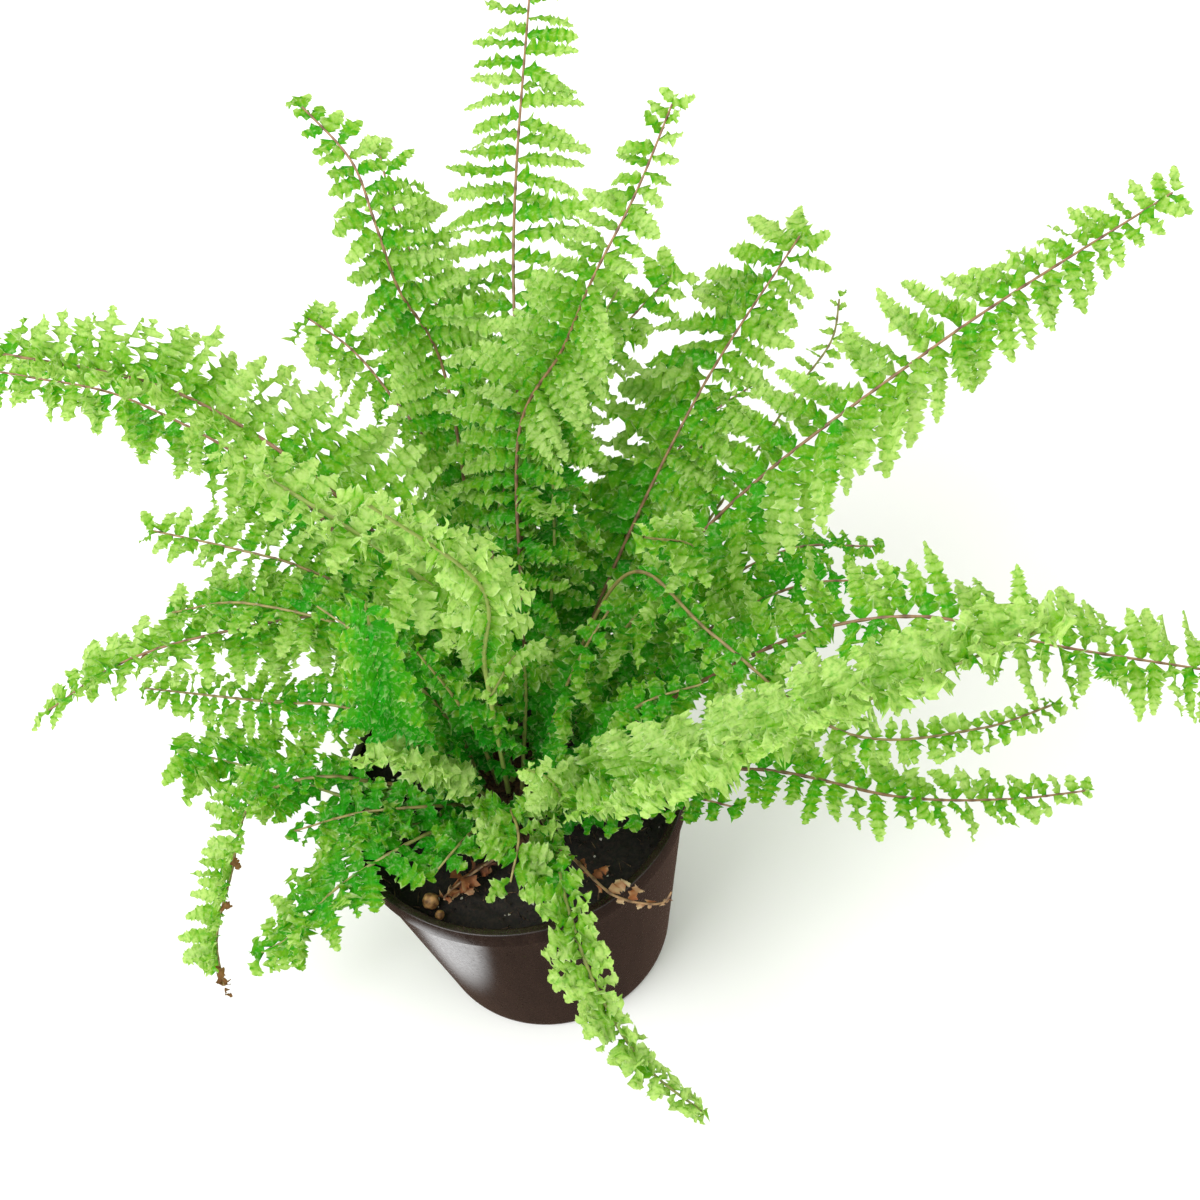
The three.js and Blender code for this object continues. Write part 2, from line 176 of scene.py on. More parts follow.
def add_stage():
    material, tree = new_material("white_paper_and_painted_reflection")
    apart = {"operation": "DISTANCE", 1: MIRRORED_PATCH}
    away = add_node(tree, "VectorMath", apart, out="Value", _0=object_place(tree))
    patch = ranged(tree, away, PATCH_INNER, PATCH_OUTER, 1.0, 0.0, "SMOOTHSTEP")
    # Painted reflection: for glossy rays alone the floor glows dim, with one brightly glowing patch.
    dim = add_node(tree, "Emission", {"Color": linear(MIRRORED_COLOR)})
    window = add_node(tree, "Emission", {"Color": linear(FLOOR_COLOR), "Strength": MIRRORED_STRENGTH})
    mirrored = add_node(tree, "MixShader", _0=patch, _1=dim, _2=window)
    paper = add_node(tree, "BsdfDiffuse", {"Color": linear(FLOOR_COLOR)})
    gloss = add_node(tree, "LightPath", out="Is Glossy Ray")
    shade = add_node(tree, "MixShader", _0=gloss, _1=paper, _2=mirrored)
    add_node(tree, "OutputMaterial", Surface=shade)
    reach = FLOOR_REACH
    corners = [(-reach, -reach, 0), (reach, -reach, 0), (reach, reach, 0), (-reach, reach, 0)]
    new_piece("floor", corners, [(0, 1, 2, 3)], material)
    world = bpy.data.worlds.new("overcast")
    world.use_nodes = True
    background = world.node_tree.nodes["Background"]
    background.inputs["Color"].default_value = linear(WORLD_COLOR)
    background.inputs["Strength"].default_value = WORLD_STRENGTH
    bpy.context.scene.world = world
    key = bpy.data.lights.new("key", "AREA")
    key.size = KEY_SIZE
    key.energy = KEY_POWER
    lamp = bpy.data.objects.new("key", key)
    lamp.location = KEY_PLACE
    lamp.rotation_euler = (Vector(KEY_AIM) - Vector(KEY_PLACE)).to_track_quat("-Z", "Y").to_euler()
    bpy.context.scene.collection.objects.link(lamp)
    bpy.context.scene.view_settings.view_transform = "Standard"

add_stage()


# Pot
# A thin thermoformed polypropylene nursery pot: a tapered wall, a plain upright lip band and a flat
# floor with drain holes. It is a turned profile, carried round the axis in fine steps.
RIM_RADIUS = 0.054
BASE_RADIUS = 0.039
WALL = 0.0012
FLOOR_THICKNESS = 0.002
LIP_HEIGHT = 0.007
LIP_STEP = 0.0012
LIP_WIDTH = 0.0026
DRAIN_HOLES = 6
DRAIN_HOLE_RADIUS = 0.0036
DRAIN_CIRCLE_RADIUS = 0.027
POT_STEPS = 128
FILLET = 0.002
RIM_EDGE = 0.0006
LIP_BLEND = 0.001
FLOOR_CORNER = 0.0008
SHARP_ANGLE = math.radians(40)
POT_COLOR = "#1d1512"
POT_WORN_COLOR = "#32241e"
STREAK_SCALE = (260, 260, 9)
SPECK_SCALE = 900.0

def wall_radius(height):
    """Outer radius of the tapered wall: it widens evenly from the base to the foot of the lip."""
    share = np.clip(height / (POT_HEIGHT - LIP_HEIGHT), 0, 1)
    return BASE_RADIUS + (RIM_RADIUS - LIP_STEP - BASE_RADIUS) * share

def turned(profile, steps):
    """Points and quads of a profile of (radius, height) carried once round the Z axis."""
    profile = np.asarray(profile, float)
    angles = np.linspace(0, 2 * np.pi, steps, endpoint=False)
    points = np.stack([
        np.outer(np.cos(angles), profile[:, 0]),
        np.outer(np.sin(angles), profile[:, 0]),
        np.broadcast_to(profile[:, 1], (steps, len(profile))),
    ], axis=-1).reshape(-1, 3)
    around = np.arange(steps)[:, None] * len(profile)
    beyond = (np.arange(steps)[:, None] + 1) % steps * len(profile)
    along = np.arange(len(profile) - 1)[None, :]
    faces = np.stack([around + along, beyond + along, beyond + along + 1, around + along + 1], axis=-1)
    return points, faces.reshape(-1, 4)

def merge(piece, distance=1e-6):
    """Joins points that lie together, such as those of a pole, and turns every face outwards."""
    work = bmesh.new()
    work.from_mesh(piece.data)
    bmesh.ops.remove_doubles(work, verts=work.verts, dist=distance)
    bmesh.ops.dissolve_degenerate(work, dist=distance, edges=work.edges)
    bmesh.ops.recalc_face_normals(work, faces=work.faces)
    work.to_mesh(piece.data)
    work.free()
    return piece

def pot_material():
    """Polypropylene, thermoformed: dark brown, a soft gloss, faint drawing streaks and dust."""
    material, tree = new_material("dark_brown_polypropylene")
    place = object_place(tree)
    streaks = add_node(tree, "Mapping", {"Scale": STREAK_SCALE}, Vector=place)
    drawn = noise(tree, streaks, 1.0, 3.0)
    specks = noise(tree, place, SPECK_SCALE, 4.0)
    both = add_node(tree, "Math", {"operation": "MULTIPLY"}, _0=drawn, _1=specks)
    color = ramp(tree, both, (0.12, POT_COLOR), (0.6, POT_WORN_COLOR))
    shade = add_node(
        tree, "BsdfPrincipled", {"IOR": 1.45}, Base_Color=color,
        Roughness=ranged(tree, specks, 0.3, 0.7, 0.16, 0.3), Normal=bumped(tree, drawn, 0.25, 0.0002))
    add_node(tree, "OutputMaterial", Surface=shade)
    return material

def rounded(corner, start, end, steps=5):
    """Points of a quadratic arc from start to end that bends towards the corner."""
    share = np.linspace(0, 1, steps)[:, None]
    start, corner, end = (np.asarray(point, float) for point in (start, corner, end))
    return ((1 - share) ** 2 * start + 2 * share * (1 - share) * corner + share ** 2 * end).tolist()

def make_pot():
    top, rim, edge = POT_HEIGHT, RIM_RADIUS, RIM_EDGE
    foot = top - LIP_HEIGHT
    outer = wall_radius(foot)
    inner = rim - LIP_WIDTH
    floor_radius = float(wall_radius(FLOOR_THICKNESS)) - WALL - FLOOR_CORNER
    profile = [[0, 0], [BASE_RADIUS - 2 * FILLET, 0]]
    profile += rounded((BASE_RADIUS, 0), (BASE_RADIUS - FILLET, 0), (wall_radius(FILLET), FILLET))
    profile += [[float(wall_radius(z)), z] for z in np.linspace(3 * FILLET, foot - 1.5 * LIP_BLEND, 14)]
    profile += rounded((outer, foot), (outer, foot - edge), (rim - edge, foot))
    profile += rounded((rim, foot), (rim - edge, foot + edge / 6), (rim, foot + edge))
    profile += rounded((rim, top), (rim, top - edge), (rim - edge, top))
    profile += rounded((inner, top), (inner + edge, top), (inner, top - edge))
    profile += rounded(
        (inner, foot + LIP_BLEND), (inner, foot + 2 * LIP_BLEND), (outer - WALL, foot - LIP_BLEND / 2))
    down = np.linspace(foot - 2 * LIP_BLEND, 2 * FLOOR_THICKNESS, 12)
    profile += [[float(wall_radius(z)) - WALL, z] for z in down]
    profile += [[floor_radius, FLOOR_THICKNESS], [0, FLOOR_THICKNESS]]
    pot = merge(new_piece("nursery_pot", *turned(profile, POT_STEPS), pot_material()))
    for angle in np.linspace(0, 2 * np.pi, DRAIN_HOLES, endpoint=False):
        x, y = DRAIN_CIRCLE_RADIUS * math.cos(angle), DRAIN_CIRCLE_RADIUS * math.sin(angle)
        bpy.ops.mesh.primitive_cylinder_add(
            vertices=32, radius=DRAIN_HOLE_RADIUS, depth=4 * FLOOR_THICKNESS, location=(x, y, 0))
        drill = bpy.context.object
        cut = pot.modifiers.new("drain", "BOOLEAN")
        cut.object = drill
        cut.solver = "EXACT"
        with bpy.context.temp_override(object=pot):
            bpy.ops.object.modifier_apply(modifier=cut.name)
        bpy.data.objects.remove(drill)
    pot.data.polygons.foreach_set("use_smooth", np.full(len(pot.data.polygons), True))
    pot.data.set_sharp_from_angle(angle=SHARP_ANGLE)
    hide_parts("pot")
    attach(pot, "root")

make_pot()


# Soil
# Moist black peat with bark crumbs, short fibres and white perlite grains, heaped a little round
# the crown. The top is a disc of rings pushed up and down, and the grains lie half sunk in it.
SOIL_LEVEL = 0.079
SOIL_MOUND = 0.002
CROWN_RADIUS = 0.020
SOIL_RINGS = 70
SOIL_STEPS = 240
SOIL_ROUGHNESS = 0.0011
PEAT_DARK = "#0d0b09"
PEAT_LIGHT = "#33271e"
PEAT_FLECKS = 900.0
SOIL_GAP = 0.0004
SOIL_SETTLING = 0.0004
SOIL_FOOT_GAP = 0.0003
# Of each kind of grain: its name, how many, its seed, how far it is sunk, its least and greatest size,
# its proportions, and its material's name, dark and light colour and fleck scale.
GRAINS = (
    ("bark_crumbs", 900, 12, 0.0001, (0.0004, 0.0013), (1, 0.7, 0.5),
        ("bark_crumbs", "#120d0a", "#4a3424", 500.0)),
    ("peat_fibres", 160, 14, -0.0003, (0.0016, 0.004), (1, 0.09, 0.09),
        ("peat_fibre", "#3b2b1e", "#8a7050", 700.0)),
    ("perlite_grains", 70, 16, 0.0001, (0.0004, 0.0010), (1, 0.9, 0.8),
        ("perlite", "#b9b5a8", "#f4f2ea", 1500.0)),
)

def smoothstep(share):
    share = np.clip(share, 0, 1)
    return share * share * (3 - 2 * share)

def soil_height(radius):
    """Level under the crown, then a smooth fall of SOIL_MOUND to the pot's wall."""
    edge = wall_radius(SOIL_LEVEL) - WALL
    return SOIL_LEVEL + SOIL_MOUND * (1 - smoothstep((radius - CROWN_RADIUS) / (edge - CROWN_RADIUS)))

def lattice_noise(x, y, cell, seed):
    """Smooth noise between -1 and 1: random values on a square grid of that cell, joined by
    smoothsteps along both directions."""
    values = np.random.default_rng(seed).uniform(-1, 1, (64, 64))
    column, row = np.floor(x / cell), np.floor(y / cell)
    across, along = smoothstep(x / cell - column), smoothstep(y / cell - row)
    i, j = column.astype(int) % 63, row.astype(int) % 63
    low = values[i, j] * (1 - across) + values[i + 1, j] * across
    high = values[i, j + 1] * (1 - across) + values[i + 1, j + 1] * across
    return low * (1 - along) + high * along

def soil_surface(x, y):
    """The smooth soil with three sizes of clods on it, the finest about 1.2 mm across."""
    clods = lattice_noise(x, y, 0.0080, 1) * 0.5 + lattice_noise(x, y, 0.0031, 2) * 0.6
    clods += lattice_noise(x, y, 0.0012, 3) * 0.5
    return soil_height(np.hypot(x, y)) + SOIL_ROUGHNESS * clods - SOIL_SETTLING

def peat_material(name, dark, light, scale):
    """Damp peat: near black, matt, with brown fibre flecks of about a millimetre."""
    material, tree = new_material(name)
    flecks = noise(tree, object_place(tree), scale, 6.0, 0.7)
    shade = add_node(
        tree, "BsdfPrincipled", {"Roughness": 0.88},
        Base_Color=ramp(tree, flecks, (0.42, dark), (0.75, light)),
        Normal=bumped(tree, flecks, 0.6, 0.0005))
    add_node(tree, "OutputMaterial", Surface=shade)
    return material

def crumbs(centres, sizes, stretch, seed):
    """One lumpy eight-sided grain for each centre: an octahedron whose six corners are stretched by
    random amounts, turned at random."""
    rng = np.random.default_rng(seed)
    corners = np.array([[1, 0, 0], [0, 1, 0], [-1, 0, 0], [0, -1, 0], [0, 0, 1], [0, 0, -1]], float)
    upper = [[0, 1, 4], [1, 2, 4], [2, 3, 4], [3, 0, 4]]
    faces = np.array(upper + [[1, 0, 5], [2, 1, 5], [3, 2, 5], [0, 3, 5]])
    count = len(centres)
    lumps = corners * rng.uniform(0.6, 1.3, (count, 6, 1)) * np.asarray(stretch)
    axes = np.linalg.qr(rng.normal(size=(count, 3, 3)))[0]
    axes[np.linalg.det(axes) < 0] *= -1
    points = np.einsum("nij,nkj->nki", axes, lumps) * sizes[:, None, None] + centres[:, None, :]
    every = faces[None] + 6 * np.arange(count)[:, None, None]
    return points.reshape(-1, 3), every.reshape(-1, 3)

def scattered(count, seed, sunk, inner=0.004):
    """Random places on the open soil between the crown and the wall."""
    rng = np.random.default_rng(seed)
    edge = wall_radius(SOIL_LEVEL) - WALL - 0.002
    radius = np.sqrt(rng.uniform((CROWN_RADIUS - inner) ** 2, edge ** 2, count))
    angle = rng.uniform(0, 2 * np.pi, count)
    x, y = radius * np.cos(angle), radius * np.sin(angle)
    return np.stack([x, y, soil_surface(x, y) - sunk], axis=-1)

def make_soil():
    edge = float(wall_radius(SOIL_LEVEL)) - WALL - SOIL_GAP
    radii = edge * np.linspace(0, 1, SOIL_RINGS)
    angles = np.linspace(0, 2 * np.pi, SOIL_STEPS, endpoint=False)
    foot = FLOOR_THICKNESS + SOIL_FOOT_GAP
    foot_radius = float(wall_radius(foot)) - WALL - SOIL_GAP
    profile = np.array([[r, 0] for r in radii] + [[foot_radius, foot], [0, foot]])
    points, faces = turned(profile, SOIL_STEPS)
    points = points.reshape(SOIL_STEPS, len(profile), 3)
    top = points[:, :SOIL_RINGS]
    top[..., 2] = soil_surface(top[..., 0], top[..., 1])
    top[:, 0, 2] = SOIL_LEVEL
    peat = peat_material("damp_peat", PEAT_DARK, PEAT_LIGHT, PEAT_FLECKS)
    soil = merge(new_piece("peat_soil", points.reshape(-1, 3), faces, peat))
    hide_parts("soil")
    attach(soil, "root")

    rng = np.random.default_rng(11)
    for name, count, seed, sunk, sizes, stretch, look in GRAINS:
        places = scattered(count, seed, sunk)
        grains = new_piece(
            name, *crumbs(places, rng.uniform(*sizes, count), stretch, seed + 1), peat_material(*look),
            smooth=False)
        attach(grains, "root")

make_soil()


# Pellets
# Tan resin-coated fertiliser pellets, a few millimetres across, that lie on the soil at the front
# left. Each is a ball whose skin is pushed in and out a little.
PELLETS = {
    "pellet_1": (-0.039, 0.011, 0.0024),
    "pellet_2": (-0.031, -0.032, 0.0026),
    "pellet_3": (-0.029, -0.0366, 0.0015),
}
DENT = 0.06
DENT_WAVES = np.array([[1900, 700, 1300], [-600, 1700, 900]])
PELLET_GAP = 0.0003

def make_pellets():
    material, tree = new_material("tan_resin_coating")
    mottle = noise(tree, object_place(tree), 600.0, 4.0)
    color = ramp(tree, mottle, (0.35, "#6b4524"), (0.65, "#c79660"))
    shade = add_node(tree, "BsdfPrincipled", {"Roughness": 0.55}, Base_Color=color)
    add_node(tree, "OutputMaterial", Surface=shade)
    for name, (x, y, radius) in PELLETS.items():
        around = np.linspace(0, np.pi, 14)
        profile = np.stack([radius * np.sin(around), -radius * np.cos(around)], axis=-1)
        points, faces = turned(profile, 24)
        waves = points @ DENT_WAVES.T + [x * 900, 0]
        dents = 1 + DENT * np.sin(waves[:, 0]) * np.sin(waves[:, 1])
        height = float(soil_height(math.hypot(x, y) - radius)) + radius + PELLET_GAP
        points = points * dents[:, None] + [x, y, height]
        pellet = merge(new_piece(name + "_skin", points, faces, material))
        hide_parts(name)
        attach(pellet, "root")

make_pellets()


# Crown
# The low woody root-stock that every frond grows from, clad in dry brown scales that overlap like
# roof tiles and stand off a little at their tips.
CROWN_HEIGHT = 0.008
CROWN_SCALES = 420
SCALE_LENGTH = 0.0055
SCALE_WIDTH = 0.0016
SCALE_SIZES = (0.6, 1.2)
SCALE_TILTS = (0.1, 1.1)
CROWN_LIFT = 0.0005
CROWN_LUMP = 0.0006
CROWN_LUMP_CELL = 0.003

def crown_height(x, y):
    """A flattened dome over the crown's plan, a gap above the soil."""
    share = np.minimum(np.hypot(x, y) / CROWN_RADIUS, 1)
    return SOIL_LEVEL + SOIL_MOUND + PELLET_GAP + CROWN_HEIGHT * np.sqrt(1 - share ** 2)

def make_crown():
    around = np.linspace(0, np.pi / 2, 16)
    base = SOIL_LEVEL + SOIL_MOUND + PELLET_GAP
    width = CROWN_RADIUS - CROWN_LIFT
    profile = [[0, base], [width, base]]
    low = base + CROWN_LIFT
    profile += [[width * math.cos(a), low + CROWN_HEIGHT * math.sin(a)] for a in around[:-1]]
    profile += [[0, low + CROWN_HEIGHT]]
    points, faces = turned(profile, 64)
    lumps = lattice_noise(points[:, 0], points[:, 1], CROWN_LUMP_CELL, 21) * CROWN_LUMP
    points[:, 2] += np.where(points[:, 2] > base + CROWN_LIFT / 2, lumps, 0)
    bark = peat_material("dry_brown_scale", "#2c1c12", "#7a5434", 800.0)
    crown = merge(new_piece("scaly_crown", points, faces, bark))
    rng = np.random.default_rng(22)
    radius = CROWN_RADIUS * np.sqrt(rng.uniform(0.01, 0.93, CROWN_SCALES))
    angle = rng.uniform(0, 2 * np.pi, CROWN_SCALES)
    foot = np.stack([radius * np.cos(angle), radius * np.sin(angle)], axis=-1)
    foot = np.column_stack([foot, crown_height(foot[:, 0], foot[:, 1])])
    outwards = np.column_stack([np.cos(angle), np.sin(angle), rng.uniform(*SCALE_TILTS, CROWN_SCALES)])
    outwards /= np.linalg.norm(outwards, axis=1, keepdims=True)
    aside = np.column_stack([-np.sin(angle), np.cos(angle), np.zeros(CROWN_SCALES)])
    length = SCALE_LENGTH * rng.uniform(*SCALE_SIZES, CROWN_SCALES)[:, None]
    corners = np.stack([
        foot - aside * SCALE_WIDTH / 2 - outwards * length * 0.2,
        foot + aside * SCALE_WIDTH / 2 - outwards * length * 0.2,
        foot + aside * SCALE_WIDTH / 3 + outwards * length * 0.5,
        foot - aside * SCALE_WIDTH / 3 + outwards * length * 0.5,
        foot + outwards * length,
    ], axis=1)
    faces = [[5 * n + i for i in face] for n in range(CROWN_SCALES) for face in ((0, 1, 2, 3), (3, 2, 4))]
    chaff = new_piece("crown_scales", corners.reshape(-1, 3), faces, bark, smooth=False)
    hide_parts("crown")
    for piece in (crown, chaff):
        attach(piece, "root")

make_crown()


# Fronds
# Each frond is a thin brown stalk with two rows of ruffled leaflets that turn their upper face to
# the sky. A leaflet is a grid that runs out along its midrib and across to its two lobed edges.
# Of each frond: where it leaves the crown in plan, the points that its stalk passes up to its tip, the
# share of the stalk that is bare, half of the blade's width, lengths in millimetres, and what sets it
# apart from HABIT. Left and right are seen from the frond's base towards its tip.
FRONDS = {
    "frond_back_tall": ((0, 8), (20, 46, 155), (35, 100, 215), (58, 168, 262), 0.2, 22,
        dict(lift=(6, 12), cut=0.55, tip=0.42, sides=(1.15, 1.28), ruffle=0.7, wide=1.0)),
    "frond_back_left_tall": ((-4.5, 8), (6, 91, 182), (-1, 97, 210), (-3, 106, 228), (-6, 122, 238),
        (-18, 141, 248), 0.25, 20,
        dict(tone=0.72, turn=0.7, cut=0.35, ruffle=0.6, wide=1.35, sides=(0.95, 1.15))),
    "frond_back_left_inner": ((-2, 12), (9, 108, 174), (4, 119, 200), (1, 137, 207), (0, 156, 214), 0.28,
        18,
        dict(tone=0.78, cut=0.5, ruffle=1.3, tip=0.4, sides=(0.9, 1.4), wide=1.2)),
    "frond_back_right_tall": ((4.5, 8), (13, 19, 130), (26, 56, 185), (42, 57, 210), (54, 52, 239),
        (70, 63, 256), (85, 80, 270), 0.24, 19,
        dict(lift=(16, 14), cut=0.5, tip=0.3, sides=(1.2, 1.1), ruffle=0.7, pitch=5.6, wide=1.1,
            tone=0.8)),
    "frond_back_right_short": ((2, 12), (36, 86, 155), (50, 88, 172), (64, 95, 179), (82, 106, 185), 0.28,
        15,
        dict(lift=(16, 20), lean=(0, 10), cut=0.4, tip=0.6, sides=(1.2, 1.2))),
    "frond_back_centre": ((6.5, 4), (27, 35, 147), (35, 51, 181), (50, 59, 208), (62, 60, 228), 0.25, 16,
        dict(green=0.8, bare=1.6, tip=0.5, wide=1.2)),
    "frond_back_mid": ((-2, 4), (5, 24, 134), (15, 51, 160), (40, 72, 180), 0.25, 17,
        dict(tone=0.43, green=0.3)),
    "frond_right_raised": ((9, 8), (45, 35, 140), (80, 60, 180), (120, 100, 195), 0.22, 21,
        dict(tone=0.76, lift=(0, -14), cut=0.35, ruffle=0.9, tip=0.6, sides=(1.4, 0.95))),
    "frond_right_thin": ((11, 12), (90, 64, 136), (112, 79, 152), (126, 94, 154), (132, 108, 158), 0.35,
        12,
        dict(tone=0.87, cut=0.2, wide=0.8, green=0.5)),
    "frond_right_long": ((11, 4), (68, 28, 150), (143, 40, 197), (222, 66, 213), 0.18, 26,
        dict(lean=(-16, -26), lift=(20, 2), cut=0.65, tip=0.3, sides=(1.0, 1.08), tone=0.78, wide=1.1)),
    "frond_right_level": ((13.5, 0), (61, -12, 136), (97, -22, 163), (124, -31, 170), (154, -40, 159),
        (196, -48, 143), (219, -53, 135), 0.16, 25,
        dict(lean=(-12, 0), cut=0.5, ruffle=1.2, tip=0.6, wide=0.95, tone=0.8)),
    "frond_front_right_large": ((6.5, -8), (50, -65, 172), (90, -85, 215), (135, -92, 240), 0.12, 21,
        dict(tone=0.98, lift=(48, 40), wide=1.85, ruffle=1.4, green=0.9, pitch=5.4, sides=(0.8, 0.68),
            tip=0.7)),
    "frond_right_low": ((16, -4), (73, -33, 117), (110, -50, 114), (143, -48, 97), (169, -43, 84), 0.22,
        18,
        dict(tone=0.75, lean=(-30, 12), cut=0.5, sides=(1.0, 0.85), wide=1.15)),
    "frond_right_arching": ((4.5, 0), (49, 9, 166), (66, -19, 167), (97, -48, 148), (132, -53, 145),
        (156, -45, 137), 0.4, 17,
        dict(tone=0.8, lift=(5, -5), cut=0.6, green=0.3, bare=1.0, tip=0.5, sides=(0.45, 0.6), pitch=4.6,
            ruffle=1.6, wide=1.1)),
    "frond_right_inner": ((16, 4), (60, 8, 128), (96, 12, 140), (126, 10, 134), 0.2, 20,
        dict(tone=0.45, ruffle=1.3)),
    "frond_right_back_low": ((13.5, 8), (58, 34, 108), (98, 50, 110), (130, 60, 90), 0.2, 17,
        dict(tone=0.48)),
    "frond_right_short": ((11, -8), (28, -24, 104), (46, -30, 110), (66, -34, 100), 0.22, 14,
        dict(tone=0.37, ruffle=1.4)),
    "frond_centre_right": ((9, 0), (40, 6, 140), (66, 0, 180), (52, -14, 208), 0.25, 17,
        dict(tone=0.68, ruffle=1.4, green=0.5)),
    "frond_centre_right_short": ((6.5, -4), (18, -7, 128), (30, -7, 155), (40, -4, 168), 0.3, 14,
        dict(tone=0.43, ruffle=1.5, green=0.4)),
    "frond_front_right_short": ((11, -4), (28, -16, 122), (44, -22, 146), (62, -24, 152), 0.25, 16,
        dict(tone=0.45, ruffle=1.4, green=0.4)),
    "frond_back_right_mid": ((6.5, 12), (39, 43, 126), (68, 58, 146), (92, 76, 152), 0.28, 17,
        dict(lean=(-10, -10), ruffle=1.2)),
    "frond_left_long": ((-9, 8), (-20, 38, 165), (-65, 78, 200), (-130, 115, 205), 0.18, 22,
        dict(tone=0.86, lift=(38, 32), turn=0.4, cut=0.6, ruffle=1.4, tip=0.4, sides=(0.95, 1.25),
            stalk=1.3)),
    "frond_left_long_lower": ((-11, 12), (-38, 69, 142), (-96, 133, 152), (-134, 162, 146),
        (-164, 183, 140), 0.25, 20,
        dict(lift=(0, 14), lean=(-28, 0), cut=0.5, tip=0.5, sides=(1.1, 0.8), wide=1.25)),
    "frond_left_pale": ((0, 0), (0, 2, 165), (-12, -8, 212), (-42, 10, 238), 0.3, 17,
        dict(tone=1.0, lift=(22, 22), wide=1.45, ruffle=1.8, green=1.0, pitch=5.6, bare=1.3, tip=0.5,
            stalk=1.6)),
    "frond_left_inner": ((-6.5, 4), (-28, 16, 150), (-62, 32, 160), (-92, 54, 138), 0.22, 17,
        dict(ruffle=1.3, green=0.4, tone=0.62)),
    "frond_left_small": ((-13.5, 8), (-33, 42, 139), (-49, 52, 149), (-66, 60, 153), (-94, 80, 148), 0.28,
        15,
        dict(tone=0.78, cut=0.35, wide=1.15, green=0.2, tip=0.5, sides=(1.0, 1.2))),
    "frond_left_level": ((-11, 4), (-18, 12, 112), (-20, 27, 137), (-36, 34, 143), (-80, 42, 138),
        (-112, 49, 125), (-141, 49, 109), 0.18, 24,
        dict(tip=0.35, sides=(0.9, 1.0), withered=(0.74,), wide=1.35)),
    "frond_left_thin": ((-16, 4), (-42, 24, 108), (-75, 36, 110), (-114, 64, 92), 0.3, 12,
        dict(lift=(-20, 10), cut=0.15, wide=1.0, green=0.4, pitch=5.2, tip=0.4, bare=0.8)),
    "frond_left_low": ((-18, 0), (-33, -8, 89), (-52, 1, 99), (-76, 22, 90), (-106, 47, 77), 0.18, 17,
        dict(tone=0.62, ruffle=1.6, wide=1.5, green=0.8, tip=0.9, bare=0.9)),
    "frond_left_mid": ((-13.5, 0), (-24, 0, 122), (-42, 6, 136), (-66, 18, 130), 0.22, 16,
        dict(tone=0.45, ruffle=1.4, green=0.4, wide=1.4)),
    "frond_left_drooping": ((-16, -4), (-52, -3, 116), (-79, 4, 101), (-93, -4, 76), (-103, -15, 58),
        (-105, -24, 43), 0.22, 15,
        dict(tone=0.78, lean=(0, 15), cut=0.4, wide=1.15, green=0.4, tip=1.0, sides=(0.6, 0.8), dead=2,
            withered=(0.6, 0.74), pitch=4.6, bare=1.1, lift=(40, 58))),
    "frond_left_short": ((-11, -4), (-26, -14, 106), (-45, -12, 107), (-68, -6, 96), 0.22, 14,
        dict(tone=0.37, ruffle=1.4, green=0.4, sides=(1.0, 0.8), bare=0.5, wide=1.5)),
    "frond_front_left_low": ((-13.5, -8), (-29, -23, 104), (-55, -29, 97), (-77, -25, 68), (-90, -21, 55),
        0.18, 16,
        dict(tone=0.58, wide=1.6, ruffle=1.3, green=0.6, tip=0.5)),
    "frond_front_left_upright": ((-4.5, -8), (-25, -18, 156), (-21, -37, 205), (-17, -44, 243), 0.2, 13,
        dict(tone=0.3, lift=(-12, -12), turn=1.0, cut=0.2, wide=1.5, green=0.8, tip=0.5, ruffle=0.4,
            pitch=8.6, bare=1.4)),
    "frond_front_left_short": ((-9, -8), (-21, -12, 119), (-27, -20, 142), (-38, -25, 150), 0.25, 15,
        dict(tone=1.12, lift=(30, 20), wide=1.8, ruffle=1.6, green=0.9, pitch=4.6, bare=0.9)),
    "frond_front_low": ((-6.5, -12), (-12, -20, 98), (-18, -30, 106), (-25, -36, 105), 0.25, 12,
        dict(tone=0.39, ruffle=1.4, green=0.5, wide=1.5)),
    "frond_front_olive": ((-2, -12), (0, -28, 115), (1, -40, 119), (-4, -50, 112), 0.3, 14,
        dict(tone=0.72, ruffle=1.4, wide=1.6, green=0.4, tip=0.7)),
    "frond_front_short": ((2, -12), (14, -30, 118), (14, -40, 145), (9, -49, 166), 0.3, 10,
        dict(tone=1.07, green=1.0)),
    "frond_front_hanging": ((6.5, -12), (10, -37, 104), (11, -61, 112), (14, -80, 99), (23, -95, 73),
        (37, -103, 50), 0.22, 14,
        dict(tone=0.96, lift=(36, 34), turn=0.5, wide=1.6, ruffle=2.0, green=0.8, pitch=3.8,
            sides=(0.55, 0.85))),
    "frond_centre_pale": ((-2, -4), (4, -24, 180), (10, -44, 240), (-10, -45, 278), 0.25, 12,
        dict(tone=1.04, lift=(32, 32), wide=1.4, ruffle=2.0, green=1.0, pitch=5.0, bare=1.9, tip=0.5,
            cut=0.55, stalk=1.2)),
    "frond_centre_small": ((2, -4), (12, -1, 140), (12, -18, 174), (4, -36, 182), 0.4, 11,
        dict(tone=0.84, wide=1.2, green=0.8)),
    "frond_centre_left": ((-9, 0), (-12, -4, 130), (-24, 2, 160), (-42, 20, 168), 0.25, 16,
        dict(tone=0.41, ruffle=1.4, green=0.5)),
    "frond_centre_short": ((-4.5, 0), (-5, -8, 125), (-8, -14, 158), (-14, -12, 178), 0.28, 14,
        dict(tone=0.39, ruffle=1.4, green=0.5)),
    "frond_back_left_thin": ((-6.5, 12), (-2, 79, 148), (-13, 105, 159), (-23, 125, 163), (-36, 142, 165),
        0.28, 13,
        dict(tone=0.78, lift=(-40, 0), lean=(-10, 0), cut=0.3, tip=0.8, sides=(1.2, 1.0))),
